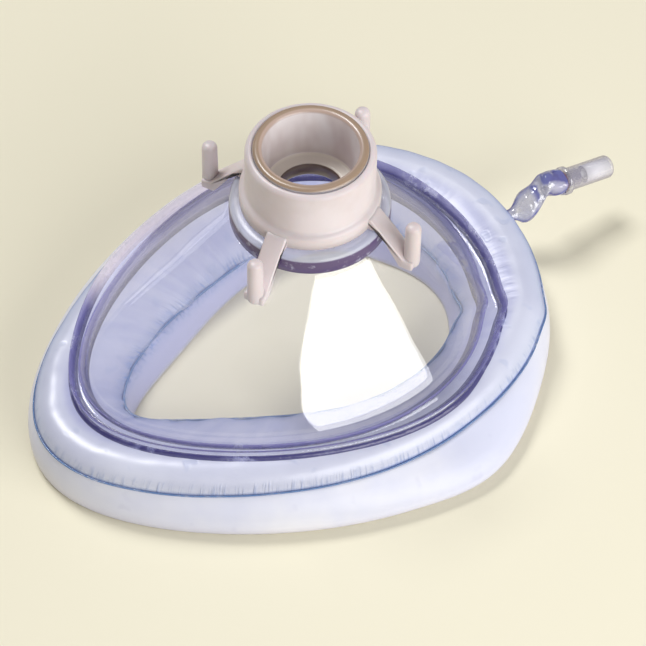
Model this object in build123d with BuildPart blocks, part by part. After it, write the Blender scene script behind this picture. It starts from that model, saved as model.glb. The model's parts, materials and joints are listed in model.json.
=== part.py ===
"""Inflatable-cushion face mask with a hook ring, as separate named pieces.

Millimetres. The origin is on the port's axis, at the plane the cushion rests on.
+Z runs up the port, +Y towards the nose end and -Y towards the chin end, where the
inflation tail and its check valve leave the cushion.
"""

from build123d import *
import math
import os

os.makedirs("parts", exist_ok=True)

# ---------------------------------------------------------------- driving sizes
OUTLINE_POINTS = 24  # spline points round each closed outline

# cushion outlines: nose reach, chin reach, half width, taper towards the nose
seam_nose, seam_chin, seam_half_width, seam_taper = 72.6, -58.0, 50.2, 0.25
belly_nose, belly_chin, belly_half_width, belly_taper = 74.2, -60.4, 57.0, 0.265
foot_nose, foot_chin, foot_half_width, foot_taper = 71.6, -57.0, 53.5, 0.265
mouth_nose, mouth_chin, mouth_half_width, mouth_taper = 50.0, -37.5, 26.5, 0.45
belly_z = 4.5
seam_z = 11.5
cushion_top_z = 15.6
roof_outer_inset = 6.0  # seam to the top's outer edge
roof_inner_rise = 11.0  # mouth to the top's inner edge

# bond ring and dome
rim_nose, rim_chin, rim_half_width, rim_taper = 62.8, -46.0, 45.0, 0.2857
bond_width = 7.0
bond_thickness = 1.2
flange_thickness = 1.4
base_nose, base_chin, base_half_width, base_taper = 60.2, -41.4, 41.6, 0.24  # the wall's foot
dome_wall = 1.8
dome_rise = (  # height above the flange, share of the way from shoulder to foot
    (0.0, 1.0),
    (3.0, 0.99),
    (6.0, 0.93),
    (10.0, 0.80),
    (16.0, 0.585),
    (24.0, 0.30),
)
shoulder_radius = 18.4
shoulder_bottom_z = 50.5
shoulder_top_z = 55.8
port_root_overlap = 0.4  # the port's foot is sunk this far into the dome's wall
port_root_lip = 0.2

# port: 22 mm bore over a floor with a smaller hole
port_top_z = 73.0
port_bore_radius = 11.0
port_outer_radius = 13.3
port_floor_z = 59.0
floor_bottom_z = 55.0
floor_hole_radius = 7.5

# hook ring
ring_running_gap = 0.06
ring_axial_gap = 0.1
ring_outer_radius = 15.0
ring_top_z = 72.2
ring_flange_radius = 16.4
ring_flange_height = 4.2
hook_count = 4
hook_start_angle = 30.2
hook_radius = 26.4
hook_pin_radius = 1.95
hook_tip_chamfer = 0.9
hook_tip_taper = 30
hook_foot_z = 47.2
hook_tip_z = 60.4
arm_width = 5.0
arm_thickness = 2.3
arm_shoulder_gap = 0.5
arm_root_height = 3.2

# inflation stub and tail
stub_radius = 1.35
stub_z = 13.4
stub_root_y = -54.0
stub_end_y = -61.0
tail_gap = 0.1
tail_bulb = (-64.6, 14.2, 3.7, 4.2)  # y, z, half width, half height
tail_waist = (-69.6, 18.6, 3.1, 2.9)
tail_end_radius = 2.9

# check valve, on an axis that droops away from the cushion
valve_y, valve_z = -76.5, 16.8  # centre of the housing's flange face
valve_droop = 10.0
housing_radius = 2.95
housing_length = 13.3
housing_flange_radius = 3.65
housing_flange_thickness = 1.4
socket_radius = 2.1
socket_depth = 6.7
head_well_radius = 1.9
head_well_depth = 2.0
web_thickness = 1.2
stem_radius = 0.72
stem_hole_radius = 0.80
stem_head_radius = 1.5
stem_head_thickness = 0.6
stem_proud = 1.9  # web face to the head's outer face
stem_tail = 2.2  # web face to the stem's inner end
seal_radius = 1.8
seal_thickness = 0.9
seal_gap = 0.05
spring_coil_radius = 1.3
spring_wire_radius = 0.18
spring_turns = 3
retainer_radius = 1.9
retainer_collar_radius = 2.08
retainer_length = 5.6
retainer_hole_radius = 0.7
gasket_outer_radius = 2.75
gasket_thickness = 0.8
fit_gap = 0.05


# ---------------------------------------------------------------- outline helpers
def egg(nose, chin, half_width, taper, z):
    """Points of an egg outline that narrows towards the nose."""
    widest = (1 - math.sqrt(1 + 8 * taper**2)) / (4 * taper)
    peak = math.sqrt(1 - widest**2) * (1 - taper * widest)
    middle, half_length = (nose + chin) / 2, (nose - chin) / 2
    points = []
    for step in range(OUTLINE_POINTS):
        t = 2 * math.pi * step / OUTLINE_POINTS
        x = half_width / peak * math.sin(t) * (1 - taper * math.cos(t))
        points.append((x, middle + half_length * math.cos(t), z))
    return points


def ring_points(radius, z):
    """Points of a circle, in step with egg()."""
    angles = [2 * math.pi * step / OUTLINE_POINTS for step in range(OUTLINE_POINTS)]
    return [(radius * math.sin(a), radius * math.cos(a), z) for a in angles]


def between(inner, outer, share):
    """Points part of the way from one outline to another, at the inner's height."""
    return [
        (a[0] + (b[0] - a[0]) * share, a[1] + (b[1] - a[1]) * share, a[2])
        for a, b in zip(inner, outer)
    ]


def rim_egg(inset, z):
    """The dome rim's outline, moved inwards."""
    return egg(rim_nose - inset, rim_chin + inset, rim_half_width - inset, rim_taper, z)


bond_bottom_z = cushion_top_z
bond_top_z = bond_bottom_z + bond_thickness
flange_top_z = bond_top_z + flange_thickness


def base_egg(inset, z):
    """The outline of the dome wall's foot, moved inwards."""
    return egg(base_nose - inset, base_chin + inset, base_half_width - inset, base_taper, z)


def dome_sections(wall):
    """Outlines of the dome from its foot to its shoulder, moved in by a wall."""
    sections = []
    for rise, share in dome_rise:
        z = flange_top_z + rise
        circle = ring_points(shoulder_radius - wall, z)
        sections.append(between(circle, base_egg(wall, z), share))
    sections.append(ring_points(shoulder_radius - wall, shoulder_bottom_z))
    return sections


# ---------------------------------------------------------------- cushion
with BuildPart() as cushion_lower:
    for outline in (
        egg(foot_nose, foot_chin, foot_half_width, foot_taper, 0),
        egg(belly_nose, belly_chin, belly_half_width, belly_taper, belly_z),
        egg(seam_nose, seam_chin, seam_half_width, seam_taper, seam_z),
    ):
        with BuildSketch(Plane.XY.offset(outline[0][2])):
            with BuildLine():
                Spline([(x, y) for x, y, _ in outline], periodic=True)
            make_face()
    loft()
    with BuildSketch(Plane.XY):
        with BuildLine():
            Spline(
                [(x, y) for x, y, _ in egg(mouth_nose, mouth_chin, mouth_half_width, mouth_taper, 0)],
                periodic=True,
            )
        make_face()
    extrude(amount=seam_z, mode=Mode.SUBTRACT)

with BuildPart() as cushion_upper:
    for outline in (
        egg(seam_nose, seam_chin, seam_half_width, seam_taper, seam_z),
        egg(
            seam_nose - roof_outer_inset,
            seam_chin + roof_outer_inset,
            seam_half_width - roof_outer_inset,
            seam_taper,
            cushion_top_z,
        ),
    ):
        with BuildSketch(Plane.XY.offset(outline[0][2])):
            with BuildLine():
                Spline([(x, y) for x, y, _ in outline], periodic=True)
            make_face()
    loft(ruled=True)
    for outline in (
        egg(mouth_nose, mouth_chin, mouth_half_width, mouth_taper, seam_z),
        egg(
            mouth_nose + roof_inner_rise / 2,
            mouth_chin - roof_inner_rise / 2,
            mouth_half_width + roof_inner_rise,
            mouth_taper * 0.75,
            cushion_top_z,
        ),
    ):
        with BuildSketch(Plane.XY.offset(outline[0][2])):
            with BuildLine():
                Spline([(x, y) for x, y, _ in outline], periodic=True)
            make_face()
    loft(ruled=True, mode=Mode.SUBTRACT)

with BuildPart() as bond_ring:
    with BuildSketch(Plane.XY.offset(bond_bottom_z)):
        with BuildLine():
            Spline([(x, y) for x, y, _ in rim_egg(0, 0)], periodic=True)
        make_face()
        with BuildLine():
            Spline([(x, y) for x, y, _ in rim_egg(bond_width, 0)], periodic=True)
        make_face(mode=Mode.SUBTRACT)
    extrude(amount=bond_thickness)

# ---------------------------------------------------------------- dome and port
port_root_z = shoulder_bottom_z - port_root_overlap
port_root_inner = shoulder_radius - dome_wall - port_root_overlap
port_profile = (
    (port_root_inner, port_root_z),
    (shoulder_radius + port_root_lip, port_root_z),
    (shoulder_radius + port_root_lip, shoulder_top_z),
    (port_outer_radius, shoulder_top_z),
    (port_outer_radius, port_top_z),
    (port_bore_radius, port_top_z),
    (port_bore_radius, port_floor_z),
    (floor_hole_radius, port_floor_z),
    (floor_hole_radius, floor_bottom_z),
    (port_root_inner, floor_bottom_z),
)
with BuildPart() as dome_shell:
    for outline in dome_sections(0):
        with BuildSketch(Plane.XY.offset(outline[0][2])):
            with BuildLine():
                Spline([(x, y) for x, y, _ in outline], periodic=True)
            make_face()
    loft()
    with BuildSketch(Plane.XY.offset(bond_top_z)):
        with BuildLine():
            Spline([(x, y) for x, y, _ in rim_egg(0.4, 0)], periodic=True)
        make_face()
    extrude(amount=flange_thickness)
    for outline in dome_sections(dome_wall):
        with BuildSketch(Plane.XY.offset(outline[0][2])):
            with BuildLine():
                Spline([(x, y) for x, y, _ in outline], periodic=True)
            make_face()
    loft(mode=Mode.SUBTRACT)
    with BuildSketch(Plane.XY.offset(bond_top_z)):
        with BuildLine():
            Spline([(x, y) for x, y, _ in base_egg(dome_wall, 0)], periodic=True)
        make_face()
    extrude(amount=flange_thickness, mode=Mode.SUBTRACT)
    with BuildSketch(Plane.XZ):
        with BuildLine():
            Polyline(port_profile, close=True)
        make_face()
    revolve(axis=Axis.Z)

# ---------------------------------------------------------------- hook ring
ring_bottom_z = shoulder_top_z + ring_axial_gap
ring_flange_top_z = ring_bottom_z + ring_flange_height
hook_outer_radius = hook_radius + hook_pin_radius
arm_root_radius = port_outer_radius + ring_running_gap + 1.0
arm_profile = (
    (arm_root_radius, ring_bottom_z),
    (shoulder_radius + arm_shoulder_gap, ring_bottom_z),
    (hook_radius - hook_pin_radius, hook_foot_z),
    (hook_outer_radius - hook_pin_radius / 2, hook_foot_z),
    (hook_outer_radius - hook_pin_radius / 2, hook_foot_z + arm_thickness),
    (hook_radius, hook_foot_z + arm_thickness),
    (ring_flange_radius + arm_shoulder_gap, ring_bottom_z + arm_root_height),
    (arm_root_radius, ring_bottom_z + arm_root_height),
)
with BuildPart() as hook_ring:
    with BuildSketch(Plane.XY.offset(ring_bottom_z)):
        Circle(ring_outer_radius)
    extrude(amount=ring_top_z - ring_bottom_z)
    with BuildSketch(Plane.XY.offset(ring_bottom_z)):
        Circle(ring_flange_radius)
    extrude(amount=ring_flange_height)
    for index in range(hook_count):
        angle = math.radians(hook_start_angle + 360 / hook_count * index)
        cosine, sine = math.cos(angle), math.sin(angle)
        radial = Plane(origin=(0, 0, 0), x_dir=(cosine, sine, 0), z_dir=(sine, -cosine, 0))
        with BuildSketch(radial):
            with BuildLine():
                Polyline(arm_profile, close=True)
            make_face()
        extrude(amount=arm_width / 2, both=True)
        with BuildSketch(Plane.XY.offset(hook_foot_z)):
            with Locations((hook_radius * cosine, hook_radius * sine)):
                Circle(hook_pin_radius)
        extrude(amount=hook_tip_z - hook_tip_chamfer - hook_foot_z)
        with BuildSketch(Plane.XY.offset(hook_tip_z - hook_tip_chamfer)):
            with Locations((hook_radius * cosine, hook_radius * sine)):
                Circle(hook_pin_radius)
        extrude(amount=hook_tip_chamfer, taper=hook_tip_taper)
    with BuildSketch(Plane.XY.offset(ring_bottom_z)):
        Circle(port_outer_radius + ring_running_gap)
    extrude(amount=ring_top_z - ring_bottom_z, mode=Mode.SUBTRACT)

# ---------------------------------------------------------------- inflation stub and tail
with BuildPart() as inflation_stub:
    with BuildSketch(Plane(origin=(0, stub_root_y, stub_z), x_dir=(1, 0, 0), z_dir=(0, -1, 0))):
        Circle(stub_radius)
    extrude(amount=stub_root_y - stub_end_y)

droop = math.radians(valve_droop)
valve_out = (0, -math.cos(droop), -math.sin(droop))


def valve_plane(distance):
    """Plane across the valve's axis, a distance out from the flange's face."""
    origin = (0, valve_y + valve_out[1] * distance, valve_z + valve_out[2] * distance)
    return Plane(origin=origin, x_dir=(1, 0, 0), z_dir=valve_out)


gasket_inner_u = -housing_flange_thickness - fit_gap - gasket_thickness
tail_end_u = gasket_inner_u - fit_gap
retainer_inner_u = -housing_flange_thickness - retainer_length

with BuildPart() as inflation_tail:
    with BuildSketch(Plane(origin=(0, stub_end_y - tail_gap, stub_z), x_dir=(1, 0, 0), z_dir=(0, -1, 0))):
        Circle(stub_radius)
    for y, z, half_width, half_height in (tail_bulb, tail_waist):
        with BuildSketch(Plane(origin=(0, y, z), x_dir=(1, 0, 0), z_dir=(0, -1, 0))):
            Ellipse(half_width, half_height)
    with BuildSketch(valve_plane(tail_end_u)):
        Circle(tail_end_radius)
    loft()
    with BuildSketch(valve_plane(retainer_inner_u - fit_gap)):
        Circle(retainer_radius + fit_gap)
    extrude(amount=tail_end_u - retainer_inner_u + 1, mode=Mode.SUBTRACT)

# ---------------------------------------------------------------- check valve
web_outer_u = housing_length - socket_depth - head_well_depth
web_inner_u = web_outer_u - web_thickness
retainer_outer_u = web_inner_u - seal_gap - seal_thickness - 2.6

with BuildPart() as valve_housing:
    with BuildSketch(valve_plane(0)):
        Circle(housing_radius)
    extrude(amount=housing_length)
    with BuildSketch(valve_plane(-housing_flange_thickness)):
        Circle(housing_flange_radius)
    extrude(amount=housing_flange_thickness)
    with BuildSketch(valve_plane(web_outer_u)):
        Circle(head_well_radius)
    extrude(amount=head_well_depth, mode=Mode.SUBTRACT)
    with BuildSketch(valve_plane(web_outer_u + head_well_depth)):
        Circle(socket_radius)
    extrude(amount=socket_depth, mode=Mode.SUBTRACT)
    with BuildSketch(valve_plane(web_inner_u)):
        Circle(stem_hole_radius)
    extrude(amount=web_thickness, mode=Mode.SUBTRACT)
    with BuildSketch(valve_plane(-housing_flange_thickness)):
        Circle(retainer_collar_radius + fit_gap)
    extrude(amount=housing_flange_thickness + web_inner_u, mode=Mode.SUBTRACT)

with BuildPart() as valve_stem:
    with BuildSketch(valve_plane(web_inner_u - stem_tail)):
        Circle(stem_radius)
    extrude(amount=stem_tail + web_thickness + stem_proud)
    with BuildSketch(valve_plane(web_outer_u + stem_proud - stem_head_thickness)):
        Circle(stem_head_radius)
    extrude(amount=stem_head_thickness)

with BuildPart() as valve_seal:
    with BuildSketch(valve_plane(web_inner_u - seal_gap - seal_thickness)):
        Circle(seal_radius)
        Circle(stem_radius + 0.02, mode=Mode.SUBTRACT)
    extrude(amount=seal_thickness)

with BuildPart() as valve_retainer:
    with BuildSketch(valve_plane(retainer_inner_u)):
        Circle(retainer_radius)
    extrude(amount=-housing_flange_thickness - retainer_inner_u)
    with BuildSketch(valve_plane(-housing_flange_thickness)):
        Circle(retainer_collar_radius)
    extrude(amount=housing_flange_thickness + retainer_outer_u)
    with BuildSketch(valve_plane(retainer_inner_u)):
        Circle(retainer_hole_radius)
    extrude(amount=retainer_outer_u - retainer_inner_u, mode=Mode.SUBTRACT)

spring_length = web_inner_u - seal_gap - seal_thickness - retainer_outer_u - 2 * spring_wire_radius - 0.1
with BuildPart() as valve_spring:
    with BuildLine() as coil:
        Helix(
            pitch=spring_length / spring_turns,
            height=spring_length,
            radius=spring_coil_radius,
            center=valve_plane(retainer_outer_u + spring_wire_radius + 0.05).origin,
            direction=valve_out,
        )
    with BuildSketch(Plane(origin=coil.line @ 0, z_dir=coil.line % 0)):
        Circle(spring_wire_radius)
    sweep(path=coil.line)

with BuildPart() as valve_gasket:
    with BuildSketch(valve_plane(gasket_inner_u)):
        Circle(gasket_outer_radius)
        Circle(retainer_radius + fit_gap, mode=Mode.SUBTRACT)
    extrude(amount=gasket_thickness)

# ---------------------------------------------------------------- export
cushion_lower.part.label = "cushion_lower"
export_step(cushion_lower.part, "parts/cushion_lower.step")
cushion_upper.part.label = "cushion_upper"
export_step(cushion_upper.part, "parts/cushion_upper.step")
bond_ring.part.label = "bond_ring"
export_step(bond_ring.part, "parts/bond_ring.step")
dome_shell.part.label = "dome_shell"
export_step(dome_shell.part, "parts/dome_shell.step")
hook_ring.part.label = "hook_ring"
export_step(hook_ring.part, "parts/hook_ring.step")
inflation_stub.part.label = "inflation_stub"
export_step(inflation_stub.part, "parts/inflation_stub.step")
inflation_tail.part.label = "inflation_tail"
export_step(inflation_tail.part, "parts/inflation_tail.step")
valve_housing.part.label = "valve_housing"
export_step(valve_housing.part, "parts/valve_housing.step")
valve_stem.part.label = "valve_stem"
export_step(valve_stem.part, "parts/valve_stem.step")
valve_seal.part.label = "valve_seal"
export_step(valve_seal.part, "parts/valve_seal.step")
valve_retainer.part.label = "valve_retainer"
export_step(valve_retainer.part, "parts/valve_retainer.step")
valve_spring.part.label = "valve_spring"
export_step(valve_spring.part, "parts/valve_spring.step")
valve_gasket.part.label = "valve_gasket"
export_step(valve_gasket.part, "parts/valve_gasket.step")
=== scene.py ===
"""Looks of a clear face mask with an inflatable cushion, a hook ring and a check valve.

Sizes are in millimetres in the classes below and become metres when a mesh is placed.
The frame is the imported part's own: the origin is on the port's axis at the resting
plane, +Z runs up the port and +Y towards the nose end.
"""

from __future__ import annotations

import json
import logging
import math
from dataclasses import dataclass, field
from enum import Enum
from typing import Callable, Iterable, Protocol, Sequence

import bmesh
import bpy
from mathutils import Matrix, Vector, noise

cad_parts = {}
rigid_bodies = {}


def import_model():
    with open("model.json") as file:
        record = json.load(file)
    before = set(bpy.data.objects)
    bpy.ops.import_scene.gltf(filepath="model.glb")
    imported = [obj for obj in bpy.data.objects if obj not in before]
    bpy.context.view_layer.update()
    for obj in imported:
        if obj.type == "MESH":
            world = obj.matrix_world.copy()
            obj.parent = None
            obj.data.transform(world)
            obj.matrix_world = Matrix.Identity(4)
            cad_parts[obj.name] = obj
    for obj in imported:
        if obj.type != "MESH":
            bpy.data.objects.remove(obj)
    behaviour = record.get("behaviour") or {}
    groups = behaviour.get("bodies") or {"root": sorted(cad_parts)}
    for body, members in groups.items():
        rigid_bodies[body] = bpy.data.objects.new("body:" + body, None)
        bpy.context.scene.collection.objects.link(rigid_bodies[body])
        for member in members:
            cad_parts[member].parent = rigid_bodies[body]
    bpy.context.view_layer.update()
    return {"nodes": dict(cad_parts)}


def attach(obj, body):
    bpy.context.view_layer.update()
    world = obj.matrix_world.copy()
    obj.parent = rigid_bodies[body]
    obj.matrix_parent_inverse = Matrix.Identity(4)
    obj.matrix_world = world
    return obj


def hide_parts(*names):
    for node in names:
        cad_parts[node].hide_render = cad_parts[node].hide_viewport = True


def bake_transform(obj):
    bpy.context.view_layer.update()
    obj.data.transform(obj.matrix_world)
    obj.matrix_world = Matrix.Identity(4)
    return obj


MM = 0.001
WHITE = (1.0, 1.0, 1.0)
SHADE = Vector((0.837, -0.548))  # plan direction of the dome's shaded side
LOG = logging.getLogger("face_mask")


# ------------------------------------------------------------------ shader tools
@dataclass(frozen=True)
class Value:
    """A socket that can be used in Python arithmetic.

    Args:
        tree: The node tree that holds the socket.
        socket: The output socket.
    """

    tree: bpy.types.NodeTree
    socket: bpy.types.NodeSocket

    def _math(self, operation: str, *others: "Value | float", clamp: bool = False) -> "Value":
        """Add one Math node.

        Args:
            operation: The Math node's operation.
            others: The further operands.
            clamp: Whether the result is held between 0 and 1.

        Returns:
            The node's result.
        """
        node = self.tree.nodes.new("ShaderNodeMath")
        node.operation = operation
        node.use_clamp = clamp
        for index, item in enumerate((self, *others)):
            if isinstance(item, Value):
                self.tree.links.new(item.socket, node.inputs[index])
            else:
                node.inputs[index].default_value = float(item)
        return Value(self.tree, node.outputs[0])

    def _constant(self, number: float) -> "Value":
        """Wrap a plain number so that it can stand on the left of an operator.

        Args:
            number: The number.

        Returns:
            The wrapped number.
        """
        node = self.tree.nodes.new("ShaderNodeValue")
        node.outputs[0].default_value = float(number)
        return Value(self.tree, node.outputs[0])

    def __add__(self, other: "Value | float") -> "Value":
        """Sum.

        Args:
            other: The other operand.

        Returns:
            The result.
        """
        return self._math("ADD", other)

    __radd__ = __add__

    def __sub__(self, other: "Value | float") -> "Value":
        """Difference.

        Args:
            other: The other operand.

        Returns:
            The result.
        """
        return self._math("SUBTRACT", other)

    def __rsub__(self, other: float) -> "Value":
        """Difference from a number.

        Args:
            other: The other operand.

        Returns:
            The result.
        """
        return self._constant(other)._math("SUBTRACT", self)

    def __mul__(self, other: "Value | float") -> "Value":
        """Product.

        Args:
            other: The other operand.

        Returns:
            The result.
        """
        return self._math("MULTIPLY", other)

    __rmul__ = __mul__

    def __pow__(self, other: "Value | float") -> "Value":
        """Power.

        Args:
            other: The other operand.

        Returns:
            The result.
        """
        return self._math("POWER", other)

    def clamp(self) -> "Value":
        """Hold between 0 and 1.

        Returns:
            The result.
        """
        return self._math("ADD", 0.0, clamp=True)

    def highest(self, other: "Value | float") -> "Value":
        """The larger of two.

        Args:
            other: The other operand.

        Returns:
            The result.
        """
        return self._math("MAXIMUM", other)

    def between(self, low: float, high: float) -> "Value":
        """Smooth step from 0 at low to 1 at high.

        Args:
            low: Where the step starts.
            high: Where it ends.

        Returns:
            The step.
        """
        node = self.tree.nodes.new("ShaderNodeMapRange")
        node.interpolation_type = "SMOOTHSTEP"
        self.tree.links.new(self.socket, node.inputs["Value"])
        node.inputs["From Min"].default_value = low
        node.inputs["From Max"].default_value = high
        return Value(self.tree, node.outputs["Result"])


class Paint:
    """One material and the nodes that it is made of."""

    def __init__(self, name: str) -> None:
        """Start an empty material.

        Args:
            name: The material's name.
        """
        self.material = bpy.data.materials.new(name)
        self.material.use_nodes = True
        self.tree = self.material.node_tree
        self.tree.nodes.clear()

    def node(
        self,
        kind: str,
        settings: dict[str, object] | None = None,
        inputs: dict[str | int, object] | None = None,
    ) -> bpy.types.Node:
        """Add a node.

        Args:
            kind: The node's type.
            settings: Properties that are set first.
            inputs: Values or links of its sockets.

        Returns:
            The node.
        """
        made = self.tree.nodes.new(kind)
        for key, item in (settings or {}).items():
            setattr(made, key, item)
        for key, item in (inputs or {}).items():
            socket = made.inputs[key]
            if isinstance(item, Value):
                self.tree.links.new(item.socket, socket)
            elif isinstance(item, bpy.types.NodeSocket):
                self.tree.links.new(item, socket)
            elif isinstance(item, (tuple, list)) and len(item) == 3 and socket.type == "RGBA":
                socket.default_value = (*item, 1.0)
            else:
                socket.default_value = item
        return made

    def value(self, socket: bpy.types.NodeSocket) -> Value:
        """Wrap a socket for arithmetic.

        Args:
            socket: The socket to wrap.

        Returns:
            The wrapped socket.
        """
        return Value(self.tree, socket)

    def place(self) -> tuple[bpy.types.NodeSocket, Value, Value, Value]:
        """Object coordinates, whole and split.

        Returns:
            The vector socket and x, y and z in metres.
        """
        vector = self.node("ShaderNodeTexCoord").outputs["Object"]
        split = self.node("ShaderNodeSeparateXYZ", inputs={0: vector})
        return vector, *(self.value(split.outputs[axis]) for axis in "XYZ")

    def noise(
        self, scale: float, detail: float = 2.0, stretch: tuple[float, float, float] = (1, 1, 1)
    ) -> Value:
        """Noise over object coordinates.

        Args:
            scale: Cells per metre.
            detail: Octaves.
            stretch: How much the pattern is squeezed along each axis.

        Returns:
            The noise, about 0.5.
        """
        vector = self.node("ShaderNodeTexCoord").outputs["Object"]
        mapped = self.node("ShaderNodeMapping", inputs={"Vector": vector, "Scale": Vector(stretch)})
        made = self.node(
            "ShaderNodeTexNoise",
            inputs={"Vector": mapped.outputs[0], "Scale": scale, "Detail": detail, "Roughness": 0.55},
        )
        return self.value(made.outputs["Fac"])

    def across(self) -> Value:
        """How far a point is across its skin, from the outer weld to the inner one.

        Returns:
            The place, from 0 to 3.
        """
        made = self.node("ShaderNodeAttribute", {"attribute_name": "across", "attribute_type": "GEOMETRY"})
        return self.value(made.outputs["Fac"])

    def streaks(self, round_count: float, across_count: float, detail: float = 2.0) -> Value:
        """Noise drawn out across a skin, even round the port's axis.

        Args:
            round_count: Cells in a radian round the axis.
            across_count: Cells from weld to weld.
            detail: Octaves.

        Returns:
            The noise, about 0.5.
        """

        def vector(operation: str, inputs: dict[str | int, object]) -> bpy.types.NodeSocket:
            """Add one Vector Math node."""
            return self.node("ShaderNodeVectorMath", {"operation": operation}, inputs).outputs[0]

        _, x, y, _ = self.place()
        flat = self.node("ShaderNodeCombineXYZ", inputs={0: x, 1: y}).outputs[0]
        wide = vector("SCALE", {0: vector("NORMALIZE", {0: flat}), "Scale": round_count})
        high = self.node("ShaderNodeCombineXYZ", inputs={2: self.across() * across_count}).outputs[0]
        place = vector("ADD", {0: wide, 1: high})
        made = self.node("ShaderNodeTexNoise", inputs={"Vector": place, "Scale": 1.0, "Detail": detail})
        return self.value(made.outputs["Fac"])

    def facing(self, blend: float) -> Value:
        """0 where the surface is seen square on and 1 where it is seen edge on.

        Args:
            blend: How early the change starts.

        Returns:
            The share.
        """
        made = self.node("ShaderNodeLayerWeight", inputs={"Blend": blend})
        return self.value(made.outputs["Facing"])

    def polish(self, edge: float = 0.6, face: float = 0.04) -> Value:
        """Mirror share of a clear wall, the same from both of its sides.

        Args:
            edge: How much more there is edge on.
            face: How much there is face on.

        Returns:
            The share.
        """
        return (self.facing(0.5) ** 5.0 * edge + face).clamp()

    def mix(self, share: Value | float, first: object, second: object) -> bpy.types.NodeSocket:
        """Mix two colours.

        Args:
            share: How much of the second.
            first: A colour or a colour socket.
            second: A colour or a colour socket.

        Returns:
            The mixed colour's socket.
        """
        made = self.node("ShaderNodeMix", {"data_type": "RGBA", "clamp_factor": True})
        for key, item in ((0, share), (6, first), (7, second)):
            socket = made.inputs[key]
            if isinstance(item, Value):
                self.tree.links.new(item.socket, socket)
            elif isinstance(item, bpy.types.NodeSocket):
                self.tree.links.new(item, socket)
            elif key == 0:
                socket.default_value = float(item)
            else:
                socket.default_value = (*item, 1.0)
        return made.outputs[2]

    def bump(self, height: Value, depth: float) -> bpy.types.NodeSocket:
        """Bump from a height.

        Args:
            height: The relief, from 0 to 1.
            depth: Its depth in metres.

        Returns:
            The normal's socket.
        """
        made = self.node("ShaderNodeBump", inputs={"Height": height, "Distance": depth, "Strength": 1.0})
        return made.outputs["Normal"]

    def body(
        self, colour: object, roughness: object, relief: bpy.types.NodeSocket, **more: object
    ) -> bpy.types.Node:
        """Add the main shader.

        Args:
            colour: Its base colour.
            roughness: Its roughness.
            relief: Its normal.
            more: Further inputs, named with underscores for spaces.

        Returns:
            The shader node.
        """
        inputs = {key.replace("_", " "): item for key, item in more.items()}
        inputs |= {"Base Color": colour, "Roughness": roughness, "Normal": relief}
        return self.node("ShaderNodeBsdfPrincipled", inputs=inputs)

    def polished(
        self, body: bpy.types.Node, roughness: float, relief: bpy.types.NodeSocket, share: Value
    ) -> bpy.types.Material:
        """Lay a white mirror layer over the main shader and join both to the output.

        Args:
            body: The main shader.
            roughness: The mirror layer's roughness.
            relief: Its normal.
            share: How much of it shows.

        Returns:
            The material.
        """
        inputs = {"Color": WHITE, "Roughness": roughness, "Normal": relief}
        shine = self.node("ShaderNodeBsdfAnisotropic", inputs=inputs)
        both = self.node("ShaderNodeMixShader", inputs={0: share, 1: body.outputs[0], 2: shine.outputs[0]})
        return self.finish(both)

    def finish(self, shader: bpy.types.Node) -> bpy.types.Material:
        """Join a shader to the output.

        Args:
            shader: The last shader node.

        Returns:
            The material.
        """
        self.node("ShaderNodeOutputMaterial", inputs={"Surface": shader.outputs[0]})
        return self.material


class Finish(Protocol):
    """Something that makes a material."""

    def build(self) -> bpy.types.Material:
        """Make the material.

        Returns:
            The material.
        """


# ------------------------------------------------------------------ finishes
Colour = tuple[float, float, float]


@dataclass(frozen=True)
class ClearShell:
    """Rigid clear plastic: barely tinted face on, indigo where it is seen edge on.

    Attributes:
        name: The material's name.
        face: Tint seen face on.
        edge: Tint seen edge on.
        haze: How solid the wall is face on.
        edge_haze: How solid it is edge on.
        gloss: How much more mirror shows edge on.
        roughness: Of the mirror layer.
        power: How quickly it turns dark towards its edges.
        painted_shade: Painted shade: dark indigo over the wall's foot on its shaded side.
        shade: How much of that painted shade there is.
        foot_z: Height of the dense foot in millimetres.
        curb_z: Height at which the foot has cleared.
    """

    name: str = "clear_shell"
    face: Colour = (0.74, 0.74, 0.90)
    edge: Colour = (0.34, 0.35, 0.76)
    haze: float = 0.045
    edge_haze: float = 0.30
    gloss: float = 0.16
    roughness: float = 0.03
    power: float = 3.0
    foot_z: float = 17.0
    curb_z: float = 25.0
    painted_shade: Colour = (0.06, 0.05, 0.22)
    shade: float = 1.0

    def build(self) -> bpy.types.Material:
        """Make the material.

        Returns:
            The material.
        """
        paint = Paint(self.name)
        _, x, y, z = paint.place()
        facing = paint.facing(0.42)
        edge = facing**self.power
        # Painted shade: on the dome's shaded side the wall's foot is darkened, made denser and given less
        # mirror.
        shaded = (x * SHADE.x + y * SHADE.y + (paint.noise(70.0, 2.0) - 0.5) * 0.003).between(0.007, 0.020)
        painted_shade = shaded * z.between(18.3 * MM, 18.7 * MM) * (1.0 - z.between(22.6 * MM, 27.6 * MM)) * self.shade
        curb = 1.0 - z.between(self.foot_z * MM, self.curb_z * MM)
        streak = paint.noise(34.0, 3.0, (1.0, 1.0, 0.25)).between(0.35, 0.75)
        haze = self.haze + edge * self.edge_haze + curb * (0.02 + 0.12 * facing)
        haze = (haze * (0.86 + 0.28 * streak) + painted_shade * 0.90).clamp()
        colour = paint.mix((edge * 1.1 + curb * facing * 0.6).clamp(), self.face, self.edge)
        colour = paint.mix(painted_shade, colour, self.painted_shade)
        relief = paint.bump(paint.noise(55.0, 1.0), 0.00025)
        body = paint.body(colour, 0.12, relief, Alpha=haze, IOR=1.5)
        share = paint.polish(self.gloss, 0.085) * (1.0 - shaded * 0.45 * self.shade) * (1.0 - painted_shade * 0.8)
        return paint.polished(body, self.roughness, relief, share)


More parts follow.
